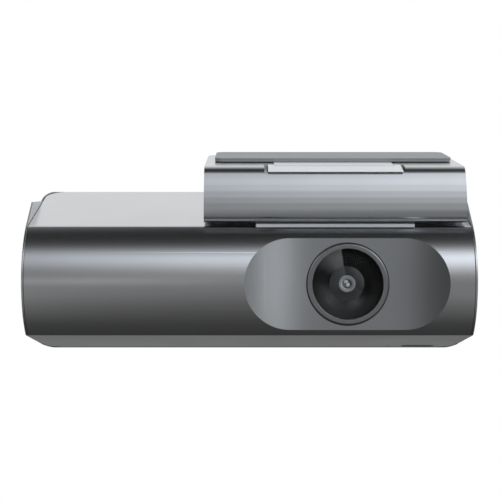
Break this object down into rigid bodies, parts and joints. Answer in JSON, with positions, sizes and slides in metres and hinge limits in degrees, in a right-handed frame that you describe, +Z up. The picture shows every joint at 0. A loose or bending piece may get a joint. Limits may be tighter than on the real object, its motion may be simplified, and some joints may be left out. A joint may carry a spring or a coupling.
{
  "type": "dash camera",
  "caption": "Wide wedge-nosed dash camera with an offset lens, hung from a sliding windscreen bracket by a friction hinge.",
  "frame": {"origin": "middle of the adhesive pad's face, where the windscreen holds the camera up", "axes": "+Z up, the lens looks along -Y, +X along the body's length towards its lens end; the pad's face leans 9.6 degrees"},
  "size_m": [0.1052, 0.0405, 0.0508],
  "materials": {
    "plate_plastic": "fine satin moulded, light grey",
    "pad_foam": "matt closed-cell acrylic foam tape",
    "satin_grey": "satin metallic grey",
    "satin_metal": "satin metallic grey, fine bead-blasted",
    "plate_metal": "brushed metallic grey",
    "ring_metal": "dark anodised, turned",
    "black_plastic": "fine spark-eroded black",
    "bare_aluminium": "clear anodised",
    "black_anodised": "matt black anodised",
    "steel": "nickel plated",
    "brass": "plain",
    "ceramic_white": "unglazed patch antenna",
    "lens_glass": "coated optical glass",
    "silicon": "sensor cover glass over silicon",
    "circuit_board": "solder mask green",
    "sleeve_blue": "shrink sleeve",
    "button_plastic": "satin moulded"
  },
  "bodies": {
    "glass_mount": {"windscreen_plate": "plate_plastic", "adhesive_pad": "pad_foam"},
    "bracket": {"bracket_shell": "satin_grey", "bracket_floor": "black_plastic", "floor_screws": "steel", "hinge_pin": "steel", "friction_washers": "brass", "gps_antenna": "ceramic_white"},
    "button": {"event_button": "button_plastic"},
    "camera": {"front_shell": "satin_metal", "left_cheek": "satin_metal", "right_cheek": "satin_metal", "rear_cover": "black_plastic", "cover_screws": "steel", "hinge_base": "bare_aluminium", "base_screws": "steel", "lens_plate": "plate_metal", "lens_ring": "ring_metal", "front_glass": "lens_glass", "lens_barrel": "black_anodised", "rear_lens": "lens_glass", "iris_ring": "black_anodised", "lens_holder": "black_plastic", "image_sensor": "silicon", "sensor_board": "circuit_board", "board_link": "black_plastic", "main_board": "circuit_board", "processor": "black_plastic", "heat_spreader": "bare_aluminium", "supercapacitors": "sleeve_blue", "usb_socket": "steel", "card_socket": "steel", "speaker": "black_plastic", "radio_antenna": "circuit_board", "microphone": "steel", "button_switch": "black_plastic"}
  },
  "joints": [
    {"name": "bracket_slide", "type": "slide", "parent": "glass_mount", "child": "bracket", "axis": [0, 0.986, 0.1668], "range_m": [0, 0.012]},
    {"name": "camera_tilt", "type": "hinge", "parent": "bracket", "child": "camera", "pos_m": [-0.0001, 0.00706, -0.00635], "axis": [1, 0, 0], "range_deg": [0, 45]},
    {"name": "button_press", "type": "slide", "parent": "camera", "child": "button", "axis": [0, 0.1702, 0.9854], "range_m": [0, 0.0005], "stiffness_N_per_m": 400, "springref_m": -0.001}
  ]
}
